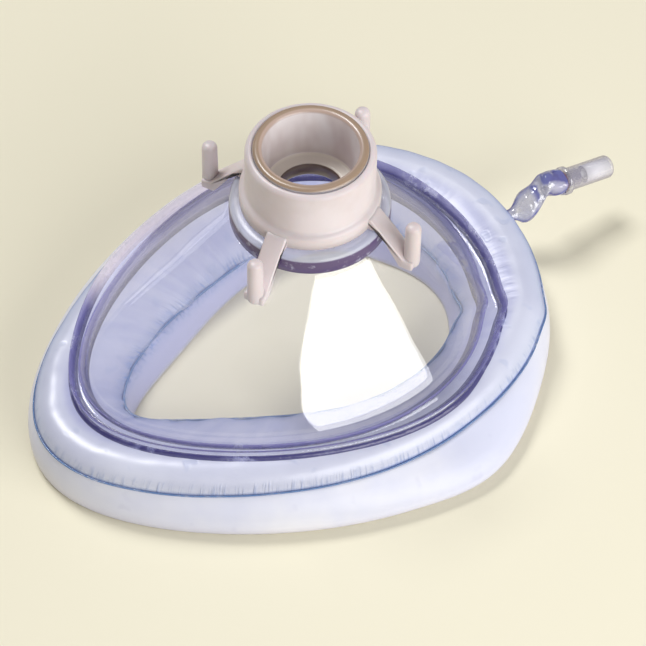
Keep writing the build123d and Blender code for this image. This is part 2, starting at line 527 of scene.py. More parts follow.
@dataclass(frozen=True)
class SoftFilm:
    """Blown vinyl film: pale on its crown, blue and creased along both of its welds.

    Attributes:
        name: The material's name.
        crown: Tint outside the flange.
        slope: Tint of the slope under the dome.
        weld: Tint along the welds.
        edge: Tint seen edge on.
        haze: How solid the film is face on.
        edge_haze: How much more solid it is edge on.
        bloom: Tint of its clouds.
        streak: Tint of the long streaks on the slope.
        pit: Tint of its small pits.
        limb: Tint beside its outline.
    """

    name: str = "soft_film"
    crown: Colour = (0.75, 0.77, 0.94)
    slope: Colour = (0.60, 0.62, 0.87)
    weld: Colour = (0.20, 0.30, 0.62)
    edge: Colour = (0.17, 0.24, 0.58)
    haze: float = 0.66
    edge_haze: float = 0.30
    bloom: Colour = (0.86, 0.88, 0.95)
    streak: Colour = (0.40, 0.44, 0.76)
    pit: Colour = (0.36, 0.46, 0.74)
    limb: Colour = (0.34, 0.50, 0.86)

    def build(self) -> bpy.types.Material:
        """Make the material.

        Returns:
            The material.
        """
        paint = Paint(self.name)
        facing = paint.facing(0.5)
        edge = facing**5.0
        soft_edge = facing**1.8
        across = paint.across()
        cloud = paint.noise(42.0, 3.0).between(0.32, 0.70)
        pits = paint.noise(210.0, 1.0).between(0.66, 0.74)
        fine = paint.streaks(85.0, 9.0).between(0.46, 0.72)
        long = paint.streaks(15.0, 1.4, 3.0).between(0.34, 0.68)
        outer = 1.0 - across.between(0.0, 0.075)
        inner = across.between(0.86, 0.99)
        inside = across.between(0.30, 0.42)
        colour = paint.mix(inside, self.crown, self.slope)
        colour = paint.mix(cloud * 0.30, colour, self.bloom)
        colour = paint.mix(inside * long * 0.35, colour, self.streak)
        colour = paint.mix((inner * (0.30 + 0.70 * fine)).clamp(), colour, self.weld)
        colour = paint.mix((outer * (0.12 + fine * 0.45)).clamp(), colour, self.weld)
        colour = paint.mix(pits * 0.22, colour, self.pit)
        colour = paint.mix((soft_edge * (1.0 - inside) * 0.55).clamp(), colour, self.limb)
        colour = paint.mix((edge * 1.6).clamp(), colour, self.edge)
        haze = self.haze + self.edge_haze * soft_edge + 0.10 * (cloud - 0.5) + inner * fine * 0.2
        height = fine * (outer + inner).clamp() * 0.7 + long * inside * 0.5 - pits * 0.25
        relief = paint.bump(height + paint.noise(60.0, 2.0) * 0.5, 0.00016)
        body = paint.body(colour, 0.46, relief, Alpha=haze.clamp(), IOR=1.42)
        return paint.polished(body, 0.32, relief, paint.polish(0.12, 0.05))


@dataclass(frozen=True)
class TailFilm:
    """Thin crumpled tube film: clear with wet highlights, indigo where it lies double.

    Attributes:
        name: The material's name.
        clear: Tint of the single film.
        fold: Tint where it lies double or is seen edge on.
        haze: How solid the single film is.
        strap: How far above its middle line the folded strap starts, in millimetres.
        tongue: Tint of the end beside the valve.
        wrinkle: Tint of the wrinkles in the fold.
    """

    name: str = "tail_film"
    clear: Colour = (0.84, 0.84, 0.95)
    fold: Colour = (0.055, 0.05, 0.25)
    haze: float = 0.26
    strap: float = 1.45
    tongue: Colour = (0.52, 0.50, 0.84)
    wrinkle: Colour = (0.10, 0.12, 0.40)

    def build(self) -> bpy.types.Material:
        """Make the material.

        Returns:
            The material.
        """
        paint = Paint(self.name)
        _, _, y, z = paint.place()
        facing = paint.facing(0.5)
        crumple = paint.noise(240.0, 2.0).between(0.36, 0.66)
        rim = (facing**1.3 * 2.0).clamp()
        climb = (y * -1.0).between(0.0640, 0.0690) * 5.6 * MM - (y * -1.0).between(0.0700, 0.0750) * 1.8 * MM
        above = z - climb - 13.6 * MM + (crumple - 0.5) * 0.0008
        strap = above.between(self.strap * MM, (self.strap + 0.8) * MM) * (y * -1.0).between(0.0645, 0.0665)
        tongue = (y * -1.0).between(0.0690, 0.0720) * 0.40
        dark = rim.highest(strap * 0.92)
        colour = paint.mix(tongue, self.clear, self.tongue)
        colour = paint.mix(dark, colour, paint.mix(crumple, self.fold, self.wrinkle))
        haze = (self.haze + 0.20 * tongue + dark * 0.68).clamp()
        relief = paint.bump(crumple, 0.0003)
        body = paint.body(colour, 0.12, relief, Alpha=haze, IOR=1.5)
        return paint.polished(body, 0.08, relief, paint.polish(0.12, 0.07))


@dataclass(frozen=True)
class MilkyFilm:
    """The contact membrane: softer and milkier than the roof, clouded with faint stains.

    Attributes:
        name: The material's name.
        light: Tint of the clouds.
        tint: Tint of the rest.
        edge: Painted shade, greyer and darker, low on the film near the table.
        inner: Tint of the wall round the opening.
        haze: How solid the film is.
        crease: Tint of the creases under the inner weld.
        stain: Tint of its spots.
        limb: Tint at its outline.
    """

    name: str = "milky_film"
    light: Colour = (0.87, 0.87, 0.94)
    tint: Colour = (0.72, 0.74, 0.90)
    edge: Colour = (0.62, 0.58, 0.70)
    inner: Colour = (0.52, 0.54, 0.84)
    haze: float = 0.86
    crease: Colour = (0.22, 0.32, 0.64)
    stain: Colour = (0.42, 0.42, 0.62)
    limb: Colour = (0.72, 0.70, 0.80)

    def build(self) -> bpy.types.Material:
        """Make the material.

        Returns:
            The material.
        """
        paint = Paint(self.name)
        _, _, _, z = paint.place()
        facing = paint.facing(0.5)
        cloud = paint.noise(26.0, 4.0).between(0.34, 0.68)
        spots = paint.noise(150.0, 2.0).between(0.66, 0.78)
        low = 1.0 - z.between(0.0, 0.006)
        across = paint.across()
        inside = across.between(1.9, 2.1)
        crease = across.between(2.5, 3.0)
        fine = paint.streaks(70.0, 5.0).between(0.42, 0.70)
        colour = paint.mix(cloud, self.tint, self.light)
        colour = paint.mix(inside * 0.85, colour, self.inner)
        colour = paint.mix((crease * (0.25 + 0.6 * fine)).clamp(), colour, self.crease)
        # Painted shade: the film turns greyer and darker low down, near the table.
        colour = paint.mix(low * (1.0 - inside) * 0.30, colour, self.edge)
        colour = paint.mix(spots * 0.18, colour, self.stain)
        colour = paint.mix((facing**4.0) * 0.5, colour, self.limb)
        relief = paint.bump(paint.noise(70.0, 3.0), 0.0003)
        haze = (self.haze + 0.12 * facing).clamp()
        return paint.finish(paint.body(colour, 0.38, relief, Alpha=haze, IOR=1.45))


@dataclass(frozen=True)
class Bond:
    """A welded edge: dense indigo, ragged where the weld is uneven; it may carry painted shade towards its
    foot and a painted pinkish white reflection along its +X side.

    Attributes:
        name: The material's name.
        colour: The weld's colour.
        worn: Colour of the uneven stretches.
        haze: How solid it is.
        ragged: How much of it is worn.
        dark_z: Height at which its painted shade is darkest.
        pale_z: Height at which its painted shade has faded out.
        pale: How strongly a painted pinkish white reflection shows along the +X side.
        depth: Colour of its painted shade where it is darkest.
        painted_reflection: Colour of the painted pinkish white reflection.
    """

    name: str = "bond"
    colour: Colour = (0.045, 0.040, 0.16)
    worn: Colour = (0.22, 0.23, 0.46)
    haze: float = 0.92
    ragged: float = 0.8
    dark_z: float = -1.0
    pale_z: float = 0.0
    pale: float = 0.0
    depth: Colour = (0.035, 0.032, 0.13)
    painted_reflection: Colour = (0.80, 0.74, 0.77)

    def build(self) -> bpy.types.Material:
        """Make the material.

        Returns:
            The material.
        """
        paint = Paint(self.name)
        _, x, y, z = paint.place()
        # Painted reflection: pinkish white along the +X side.
        pale = x.between(0.024, 0.034) * y.between(-0.020, 0.0) * self.pale
        painted_shade = 0.0
        # Painted shade: darker and denser towards its foot, from pale_z down to dark_z.
        if self.dark_z > 0.0:
            uneven = z + (paint.noise(140.0, 2.0) - 0.5) * 0.0012
            painted_shade = 1.0 - uneven.between(self.dark_z * MM, self.pale_z * MM)
        patch = paint.noise(95.0, 4.0).between(0.46, 0.66)
        fine = paint.noise(620.0, 2.0).between(0.40, 0.62)
        wear_and_shade_gaps = patch * fine * self.ragged
        colour = paint.mix(wear_and_shade_gaps, self.colour, self.worn)
        colour = paint.mix(painted_shade, colour, self.depth)
        colour = paint.mix(pale * 0.9, colour, self.painted_reflection)
        haze = (self.haze - wear_and_shade_gaps * 0.45 + painted_shade * 0.3).clamp()
        body = paint.body(colour, 0.18, paint.bump(fine, 0.00008), Alpha=haze, Coat_Weight=0.3)
        return paint.finish(body)


@dataclass(frozen=True)
class Moulded:
    """Moulded opaque plastic or rubber with a fine satin skin and slight colour drift.

    Attributes:
        name: The material's name.
        colour: Its main colour.
        drift: The colour it drifts to.
        roughness: Of the skin.
        grain: Cells per metre of the skin's relief.
        depth: Relief in metres.
        scatter: How much light travels inside it.
        metal: 1 for metal.
    """

    name: str
    colour: Colour
    drift: Colour
    roughness: float = 0.42
    grain: float = 900.0
    depth: float = 0.00003
    scatter: float = 0.0
    metal: float = 0.0

    def build(self) -> bpy.types.Material:
        """Make the material.

        Returns:
            The material.
        """
        paint = Paint(self.name)
        cloud = paint.noise(60.0, 3.0).between(0.30, 0.72)
        grain = paint.noise(self.grain, 2.0)
        body = paint.body(
            paint.mix(cloud, self.colour, self.drift),
            (grain * 0.14 + (self.roughness - 0.07)).clamp(),
            paint.bump(grain, self.depth),
            Metallic=self.metal,
            Subsurface_Weight=self.scatter,
            Subsurface_Scale=0.002,
        )
        return paint.finish(body)


@dataclass(frozen=True)
class PortWall:
    """The port's thick clear wall: sees the beige ring through itself, tan on its top face.

    Attributes:
        name: The material's name.
        face: Tint of the wall.
        lip: Tint of the top face.
        foot: Tint of the shoulder under the ring.
        band: Painted shade on the shoulder's side.
        bore: Tint of the bore: the ring's pinkish colour, made light and dense as painted light through the
            ring.
        ledge: Painted light on the pierced floor: cream and dense.
        hole: Painted shade on the hole's wall.
        top_z: Height of the top face in millimetres.
        shoulder_z: Height of the shoulder's top.
        band_low: Lower edge of the painted shade band.
    """

    name: str = "port_wall"
    face: Colour = (0.70, 0.66, 0.68)
    lip: Colour = (0.36, 0.25, 0.17)
    foot: Colour = (0.74, 0.77, 0.93)
    band: Colour = (0.085, 0.05, 0.15)
    bore: Colour = (0.74, 0.62, 0.60)
    ledge: Colour = (0.86, 0.79, 0.70)
    hole: Colour = (0.12, 0.07, 0.06)
    top_z: float = 73.0
    shoulder_z: float = 55.6
    band_low: float = 50.8

    def build(self) -> bpy.types.Material:
        """Make the material.

        Returns:
            The material.
        """
        paint = Paint(self.name)
        _, x, y, z = paint.place()
        radius = (x * x + y * y) ** 0.5
        lip = z.between((self.top_z - 0.9) * MM, (self.top_z - 0.3) * MM)
        # Painted shade: a dark band round the shoulder's side, broken in places by noise.
        in_band = z.between((self.band_low - 0.3) * MM, (self.band_low + 0.2) * MM)
        in_band = in_band * (1.0 - z.between((self.shoulder_z - 1.1) * MM, (self.shoulder_z - 0.5) * MM))
        band = in_band * radius.between(17.2 * MM, 18.0 * MM)
        low = 1.0 - z.between(self.shoulder_z * MM, (self.shoulder_z + 0.4) * MM)
        floor = z.between(54.8 * MM, 55.0 * MM) * (1.0 - z.between(59.2 * MM, 59.6 * MM))
        # Painted light: the pierced floor is cream and nearly solid, as if lit.
        ledge = floor * (1.0 - radius.between(11.1 * MM, 11.4 * MM))
        # Painted shade: the hole's wall is dark brown.
        hole = floor * (1.0 - radius.between(7.65 * MM, 7.85 * MM))
        # Partly own colour, partly painted light: the bore shows the ring's pinkish colour, lightened and
        # made dense as if lit through the ring.
        bore = z.between(59.0 * MM, 59.5 * MM) * (1.0 - radius.between(11.3 * MM, 11.6 * MM)) * (1.0 - lip)
        cloud = paint.noise(75.0, 3.0, (1.0, 1.0, 0.4)).between(0.34, 0.68)
        wear_and_shade_gaps = paint.noise(420.0, 3.0).between(0.56, 0.72) * 0.35
        colour = paint.mix(low, self.face, self.foot)
        colour = paint.mix(cloud * 0.35, colour, (0.86, 0.84, 0.88))
        colour = paint.mix(bore, colour, paint.mix(cloud, self.bore, (0.90, 0.86, 0.86)))
        colour = paint.mix(ledge, colour, self.ledge)
        colour = paint.mix(hole, colour, self.hole)
        inner = 1.0 - radius.between(11.6 * MM, 12.0 * MM)
        colour = paint.mix(lip, colour, paint.mix(inner * 0.6, self.lip, (0.60, 0.45, 0.40)))
        colour = paint.mix(band * (1.0 - wear_and_shade_gaps), colour, self.band)
        haze = 0.16 + 0.10 * cloud + 0.72 * lip + band * 0.75 + 0.28 * low + bore * 0.62 + ledge * 0.75
        haze = haze.clamp()
        relief = paint.bump(paint.noise(70.0, 1.0), 0.0002)
        body = paint.body(colour, 0.22, relief, Alpha=haze, IOR=1.5)
        return paint.polished(body, 0.35, relief, paint.polish(0.08, 0.03))


@dataclass(frozen=True)
class Backdrop:
    """Plain pale paper.

    Attributes:
        name: The material's name.
        colour: The paper's colour.
    """

    name: str = "paper"
    colour: Colour = (0.83, 0.785, 0.625)

    def build(self) -> bpy.types.Material:
        """Make the material.

        Returns:
            The material.
        """
        paint = Paint(self.name)
        shade = paint.noise(9.0, 2.0)
        colour = paint.mix(shade * 0.25, self.colour, tuple(c * 0.97 for c in self.colour))
        body = paint.node("ShaderNodeBsdfPrincipled", inputs={"Base Color": colour, "Roughness": 0.85})
        return paint.finish(body)


# ------------------------------------------------------------------ outlines and lofts
class Outline(Protocol):
    """A closed plan outline that is walked by one turn."""

    def at(self, turn: float) -> Vector:
        """Plan point at a turn in radians, 0 at the nose end.

        Args:
            turn: Place round the outline in radians.

        Returns:
            The point.
        """


@dataclass(frozen=True)
class Disc:
    """A circle about the port's axis.

    Attributes:
        radius: Its radius.
    """

    radius: float

    def at(self, turn: float) -> Vector:
        """Plan point at a turn.

        Args:
            turn: Place round the outline in radians.

        Returns:
            The point.
        """
        return Vector((self.radius * math.sin(turn), self.radius * math.cos(turn)))


@dataclass(frozen=True)
class Dent:
    """A stretch of an outline that stands out or in.

    Attributes:
        turn: Its middle in degrees.
        width: Its half width in degrees.
        push: How far it stands out.
    """

    turn: float
    width: float
    push: float

    def at(self, turn: float) -> float:
        """Push at a turn in radians.

        Args:
            turn: Place round the outline in radians.

        Returns:
            The push.
        """
        away = (math.degrees(turn) - self.turn + 180.0) % 360.0 - 180.0
        return self.push * math.exp(-((away / self.width) ** 2))


@dataclass(frozen=True)
class Egg:
    """An egg outline that narrows towards the nose.

    Attributes:
        nose: Reach towards the nose.
        chin: Reach towards the chin, below zero.
        half_width: Half its greatest width.
        taper: How much it narrows.
        dents: Where the soft outline leaves the plain egg.
    """

    nose: float
    chin: float
    half_width: float
    taper: float
    dents: tuple[Dent, ...] = ()

    def at(self, turn: float) -> Vector:
        """Plan point at a turn.

        Args:
            turn: Place round the outline in radians.

        Returns:
            The point.
        """
        widest = (1 - math.sqrt(1 + 8 * self.taper**2)) / (4 * self.taper)
        peak = math.sqrt(1 - widest**2) * (1 - self.taper * widest)
        middle, half_length = (self.nose + self.chin) / 2, (self.nose - self.chin) / 2
        across = self.half_width / peak * math.sin(turn) * (1 - self.taper * math.cos(turn))
        point = Vector((across, middle + half_length * math.cos(turn)))
        return point + point.normalized() * sum(dent.at(turn) for dent in self.dents)

    def inset(self, by: float) -> "Egg":
        """The same outline, moved inwards.

        Args:
            by: How far.

        Returns:
            The moved outline.
        """
        return Egg(self.nose - by, self.chin + by, self.half_width - by, self.taper, self.dents)


@dataclass(frozen=True)
class Station:
    """One loop of a loft.

    Attributes:
        first: Outline at share 0.
        second: Outline at share 1.
        share: How far the loop stands from the first to the second.
        height: Its height.
    """

    first: Outline
    second: Outline
    share: float
    height: float

    def at(self, turn: float) -> Vector:
        """Point on the loop at a turn.

        Args:
            turn: Place round the outline in radians.

        Returns:
            The point.
        """
        flat = self.first.at(turn).lerp(self.second.at(turn), self.share)
        return Vector((flat.x, flat.y, self.height))


class Mesh:
    """Makes meshes from bmesh operators and leaves them as finished pieces."""

    @staticmethod
    def loft(
        loops: Sequence[Callable[[float], Vector]],
        segments: int,
        ring: bool = False,
        across: Sequence[float] = (),
    ) -> bmesh.types.BMesh:
        """Extrude a circle's edges from loop to loop.

        Args:
            loops: Each gives a point for a turn.
            segments: Points round each loop.
            ring: Whether the last loop joins the first.
            across: A number for each loop that the finish may read.

        Returns:
            The mesh, in the loops' own unit.
        """
        bm = bmesh.new()
        turn_of = bm.verts.layers.float.new("turn")
        across_of = bm.verts.layers.float.new("across")
        marks = list(across) or [0.0] * len(loops)
        bmesh.ops.create_circle(bm, cap_ends=False, segments=segments, radius=1.0)
        for vert in bm.verts:
            vert[turn_of] = math.atan2(vert.co.x, vert.co.y)
            vert.co = loops[0](vert[turn_of])
            vert[across_of] = marks[0]
        edges = first = list(bm.edges)
        for loop, mark in zip(loops[1:], marks[1:]):
            made = bmesh.ops.extrude_edge_only(bm, edges=edges)["geom"]
            verts = {item for item in made if isinstance(item, bmesh.types.BMVert)}
            edges = [
                item
                for item in made
                if isinstance(item, bmesh.types.BMEdge) and item.verts[0] in verts and item.verts[1] in verts
            ]
            for vert in verts:
                vert.co = loop(vert[turn_of])
                vert[across_of] = mark
        if ring:
            bmesh.ops.bridge_loops(bm, edges=first + edges)
        bmesh.ops.recalc_face_normals(bm, faces=bm.faces)
        return bm

    @staticmethod
    def spin(
        profile: Iterable[tuple[float, float]], steps: int = 96, closed: bool = True
    ) -> bmesh.types.BMesh:
        """Turn a profile about the Z axis.

        Args:
            profile: Points of radius and height.
            steps: Steps in the full turn.
            closed: Whether the profile's ends meet.

        Returns:
            The mesh.
        """
        bm = bmesh.new()
        verts = [bm.verts.new((radius, 0.0, height)) for radius, height in profile]
        for start, end in zip(verts, verts[1:]):
            bm.edges.new((start, end))
        if closed:
            bm.edges.new((verts[-1], verts[0]))
        bmesh.ops.spin(
            bm,
            geom=verts + list(bm.edges),
            cent=(0, 0, 0),
            axis=(0, 0, 1),
            angle=math.tau,
            steps=steps,
            use_merge=True,
            use_duplicate=False,
        )
        bmesh.ops.remove_doubles(bm, verts=bm.verts, dist=1e-4)
        bmesh.ops.recalc_face_normals(bm, faces=bm.faces)
        return bm

    @staticmethod
    def plate(profile: Iterable[tuple[float, float]], thickness: float, bevel: float) -> bmesh.types.BMesh:
        """Extrude an XZ profile along Y, centred, with rounded edges.

        Args:
            profile: Points of x and z.
            thickness: Size along Y.
            bevel: Radius of the edges.

        Returns:
            The mesh.
        """
        bm = bmesh.new()
        face = bm.faces.new([bm.verts.new((x, -thickness / 2, z)) for x, z in profile])
        made = bmesh.ops.extrude_face_region(bm, geom=[face])["geom"]
        moved = [item for item in made if isinstance(item, bmesh.types.BMVert)]
        bmesh.ops.translate(bm, vec=(0, thickness, 0), verts=moved)
        bmesh.ops.recalc_face_normals(bm, faces=bm.faces)
        bmesh.ops.bevel(
            bm, geom=list(bm.edges), offset=bevel, segments=3, affect="EDGES", profile=0.5, material=-1
        )
        return bm

    @staticmethod
    def join(parts: Iterable[bmesh.types.BMesh]) -> bmesh.types.BMesh:
        """Put several meshes in one.

        Args:
            parts: The meshes, which are freed.

        Returns:
            One mesh.
        """
        whole = bmesh.new()
        for part in parts:
            carrier = bpy.data.meshes.new("carrier")
            part.to_mesh(carrier)
            part.free()
            whole.from_mesh(carrier)
            bpy.data.meshes.remove(carrier)
        return whole


@dataclass
class Piece:
    """A finished object and what it says about itself to the frame.

    Attributes:
        name: Its name.
        body: The body it rides on, or None for a piece between two bodies, which is then left on no body.
        slot: The record's material slot; not used.
        replaces: CAD nodes that it stands for.
    """

    name: str
    body: str | None
    slot: str
    replaces: tuple[str, ...] = ()

    def make(self, bm: bmesh.types.BMesh, material: bpy.types.Material) -> bpy.types.Object:
        """Turn a mesh in millimetres into the object.

        Args:
            bm: The mesh, which is freed.
            material: Its finish.

        Returns:
            The object, at the origin, with its place in its mesh.
        """
        bmesh.ops.transform(bm, matrix=Matrix.Scale(MM, 4), verts=bm.verts)
        for face in bm.faces:
            face.smooth = True
        data = bpy.data.meshes.new(self.name)
        bm.to_mesh(data)
        bm.free()
        data.materials.append(material)
        obj = bpy.data.objects.new(self.name, data)
        bpy.context.scene.collection.objects.link(obj)
        if self.body is not None:
            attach(obj, self.body)
        if self.replaces:
            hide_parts(*self.replaces)
        LOG.info("%s: %d faces", self.name, len(data.polygons))
        return obj


def flutter(turn: float, along: float, seed: float) -> float:
    """Smooth random number for a place round and across a skin.

    Args:
        turn: Place round the skin in radians.
        along: Place across it.
        seed: Which pattern.

    Returns:
        A number from about -1 to 1.
    """
    return noise.noise(Vector((math.cos(turn) * 3.0 + seed, math.sin(turn) * 3.0, along * 1.5)))


# ------------------------------------------------------------------ sub-assemblies
@dataclass
class Cushion:
    """The inflated rim: a clear roof skin and a milky contact membrane, welded at two seams.

    Attributes:
        seam: Outline of the outer weld.
        belly: Outline of the membrane's bulge.
        foot: Outline where the membrane leaves the table.
        mouth: Outline of the inner weld.
        sill: Outline of the opening at the table.
        seam_z: Height of the outer weld.
        crease_z: Height of the inner weld.
        segments: Points round each loop.
        chin_lift: Rise of the welds at the chin end.
    """

    seam: Egg = Egg(72.6, -58.0, 50.2, 0.25, (Dent(-118, 26, -2.9), Dent(170, 26, 1.9), Dent(-150, 4, 0.7)))
    belly: Egg = Egg(74.2, -60.4, 57.0, 0.265, (Dent(-137, 20, -3.5), Dent(-108, 11, 1.2)))
    foot: Egg = Egg(71.6, -57.0, 53.5, 0.265, (Dent(-137, 20, -3.5), Dent(-108, 11, 1.2)))
    mouth: Egg = Egg(
        50.0,
        -37.5,
        26.5,
        0.45,
        (Dent(48, 30, 3.4), Dent(-40, 26, -1.4), Dent(-95, 22, 1.0), Dent(-153, 5, 1.6)),
    )
    sill: Egg = Egg(49.0, -36.5, 25.4, 0.45, (Dent(55, 24, -1.4), Dent(156, 22, -2.6)))
    seam_z: float = 11.3
    crease_z: float = 8.3
    segments: int = 288
    chin_lift: float = 1.4

    def lift(self, turn: float, height: float) -> float:
        """Rise of the welds towards the chin end.

        Args:
            turn: Place round the cushion.
            height: Height of the point before.

        Returns:
            How much higher it stands.
        """
        chin = max(0.0, (-math.cos(turn) - 0.2) / 0.8)
        return self.chin_lift * chin**1.5 * min(1.0, height / self.seam_z)

    def loop(self, station: Station, seed: float, crinkle: float) -> Callable[[float], Vector]:
        """A loop of the cushion with its lift and its small creases.

        Args:
            station: The plain loop.
            seed: Which crease pattern.
            crinkle: Height of the creases.

        Returns:
            A function from a turn to a point.
        """

        def at(turn: float) -> Vector:
            """Point at a turn."""
            point = station.at(turn)
            if station.second is self.mouth and station.share > 0.5:
                wave = 1.1 * flutter(turn * 2.4, 0.0, 31.0) * (station.share - 0.5) * 2.0
                point += Vector((point.x, point.y, 0.0)).normalized() * wave
            point.z += self.lift(turn, point.z)
            fine = math.sin(turn * 46 + 4 * flutter(turn, station.share, seed))
            point.z += crinkle * fine * (0.4 + 0.6 * abs(flutter(turn * 2, 0, seed + 3)))
            point.z += 0.25 * flutter(turn * 1.7, station.share * 2, seed + 9) * min(1.0, point.z / 4.0)
            return point

        return at

    def skin(
        self,
        name: str,
        slot: str,
        node: str,
        rows: Sequence[tuple[Station, float]],
        seed: float,
        finish: Finish,
    ) -> bpy.types.Object:
        """Loft one skin and give it its film's thickness.

        Args:
            name: The piece's name.
            slot: Its material slot.
            node: The CAD node that it stands for.
            rows: Loops with the height of their creases.
            seed: Which crease pattern.
            finish: Its finish.

        Returns:
            The object.
        """
        loops = [self.loop(station, seed, crinkle) for station, crinkle in rows]
        marks = [station.share + self.stretch(station) for station, _ in rows]
        bm = Mesh.loft(loops, self.segments, across=marks)
        obj = Piece(name, "mask", slot, (node,)).make(bm, finish.build())
        wall = obj.modifiers.new("film", "SOLIDIFY")
        wall.thickness = 0.35 * MM
        wall.offset = -1.0
        return obj

    def stretch(self, station: Station) -> float:
        """Number of the stretch that a loop is on: 0 outside, 1 under, 2 up to the inner weld.

        Args:
            station: The loop.

        Returns:
            The number.
        """
        if station.first is self.sill:
            return 2.0
        return 1.0 if station.second is self.sill else 0.0

    def roof_rows(self) -> list[tuple[Station, float]]:
        """Loops from the outer weld over the crown to the inner weld.

        Returns:
            Loops with the height of their creases.
        """
        shape = (
            (0.0, 0.0, 0.0),
            (0.012, 1.3, 0.10),
            (0.035, 2.5, 0.14),
            (0.07, 3.55, 0.10),
            (0.11, 4.3, 0.05),
            (0.16, 4.85, 0.03),
            (0.22, 5.1, 0.03),
            (0.29, 5.0, 0.08),
            (0.35, 4.7, 0.03),
            (0.44, 4.45, 0.0),
            (0.54, 3.9, 0.0),
            (0.64, 3.0, 0.0),
            (0.74, 1.8, 0.03),
            (0.83, 0.5, 0.06),
            (0.91, -1.0, 0.12),
            (0.97, -2.3, 0.10),
            (1.0, self.crease_z - self.seam_z, 0.0),
        )
        return [
            (Station(self.seam, self.mouth, share, self.seam_z + rise), crinkle)
            for share, rise, crinkle in shape
        ]

    def membrane_rows(self) -> list[tuple[Station, float]]:
        """Loops from the outer weld round the belly, under and up to the inner weld.

        Returns:
            Loops with the height of their creases.
        """
        outside = (
            (0.0, self.seam_z, 0.0),
            (0.10, self.seam_z - 0.7, 0.08),
            (0.34, self.seam_z - 1.8, 0.10),
            (0.62, self.seam_z - 3.3, 0.06),
            (0.84, self.seam_z - 5.0, 0.02),
            (0.97, 4.6, 0.0),
            (1.0, 3.2, 0.0),
            (0.97, 1.9, 0.0),
            (0.88, 0.8, 0.0),
            (0.74, 0.15, 0.0),
        )
        under = (
            (0.08, 0.0, 0.0),
            (0.25, 0.0, 0.0),
            (0.5, 0.0, 0.0),
            (0.75, 0.0, 0.0),
            (0.92, 0.05, 0.0),
            (1.0, 0.5, 0.0),
        )
        inside = (
            (0.12, 1.5, 0.0),
            (0.30, 3.0, 0.02),
            (0.55, 4.9, 0.05),
            (0.80, 6.7, 0.08),
            (1.0, self.crease_z, 0.0),
        )
        rows = [(Station(self.seam, self.belly, share, z), crinkle) for share, z, crinkle in outside]
        rows += [(Station(self.foot, self.sill, share, z), crinkle) for share, z, crinkle in under]
        rows += [(Station(self.sill, self.mouth, share, z), crinkle) for share, z, crinkle in inside]
        return rows

    def weld(
        self, name: str, outline: Egg, height: float, radius: float, finish: Finish, out: float = 0.0
    ) -> bpy.types.Object:
        """A thin bead of weld along an outline.

        Args:
            name: The piece's name.
            outline: The outline it follows.
            height: Its height.
            radius: Half its thickness.
            finish: Its finish.
            out: How far it stands outside the outline.

        Returns:
            The object.
        """
        wide = outline.inset(-out)
        loops = []
        for step in range(8):
            angle = math.tau * step / 8
            inset, rise = radius * math.cos(angle), radius * math.sin(angle)
            loops.append(self.loop(Station(wide.inset(inset), wide, 0.0, height + rise), 1.0, 0.0))
        bm = Mesh.loft(loops, self.segments, ring=True)
        return Piece(name, "mask", "soft_clear").make(bm, finish.build())

    def build(self) -> None:
        """Make every piece of the cushion."""
        roof, membrane = self.roof_rows(), self.membrane_rows()
        self.skin("cushion_roof_skin", "soft_clear", "cushion_upper", roof, 2.0, SoftFilm())
        self.skin("cushion_contact_membrane", "membrane", "cushion_lower", membrane, 5.0, MilkyFilm())
        blue = Bond("weld_blue", (0.13, 0.24, 0.50), (0.40, 0.50, 0.74), 0.78, 0.9)
        self.weld("outer_weld", self.seam, self.seam_z, 0.26, blue, 0.1)
        self.weld("inner_weld", self.mouth, self.crease_z, 0.34, blue)


